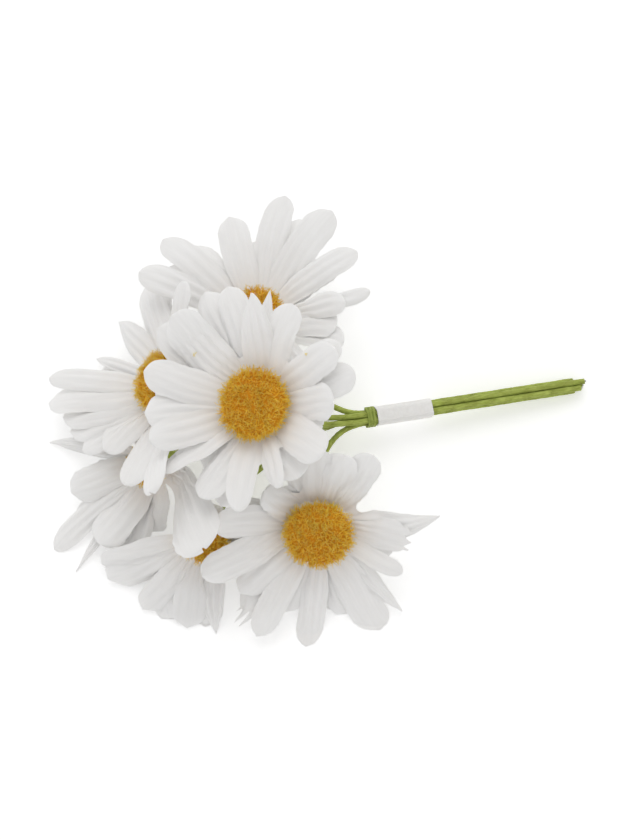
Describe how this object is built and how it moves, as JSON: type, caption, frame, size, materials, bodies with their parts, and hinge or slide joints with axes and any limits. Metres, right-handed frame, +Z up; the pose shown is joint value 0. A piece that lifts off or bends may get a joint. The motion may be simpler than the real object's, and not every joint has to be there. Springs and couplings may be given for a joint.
{
  "type": "bunch of artificial daisies",
  "caption": "Bunch of white cloth daisies with golden bristle eyes on green taped wire stems, bound with a paper band and lying on a surface.",
  "frame": {"origin": "on the surface that the bunch lies on, under the middle of its bounding box", "axes": "+X from the blooms along the stems towards their cut ends, +Z up from the surface, with most of the blooms facing up"},
  "size_m": [0.121, 0.1, 0.0376],
  "materials": {
    "petal_cloth": "matte white woven cloth, pressed with ridges",
    "eye_bristle": "matte golden pile",
    "stem_tape": "matte wound paper tape",
    "wire": "drawn",
    "band_paper": "matte paper",
    "binding_tape": "matte paper tape"
  },
  "bodies": {
    "root": {"petals_centre": "petal_cloth", "eye_centre": "eye_bristle", "stem_centre": "stem_tape", "wire_centre": "wire", "petals_lower_right": "petal_cloth", "eye_lower_right": "eye_bristle", "stem_lower_right": "stem_tape", "wire_lower_right": "wire", "petals_lower_left": "petal_cloth", "eye_lower_left": "eye_bristle", "stem_lower_left": "stem_tape", "wire_lower_left": "wire", "petals_left": "petal_cloth", "eye_left": "eye_bristle", "stem_left": "stem_tape", "wire_left": "wire", "petals_top": "petal_cloth", "eye_top": "eye_bristle", "stem_top": "stem_tape", "wire_top": "wire", "petals_bottom": "petal_cloth", "eye_bottom": "eye_bristle", "stem_bottom": "stem_tape", "wire_bottom": "wire", "band": "band_paper", "binding": "binding_tape"}
  },
  "joints": []
}
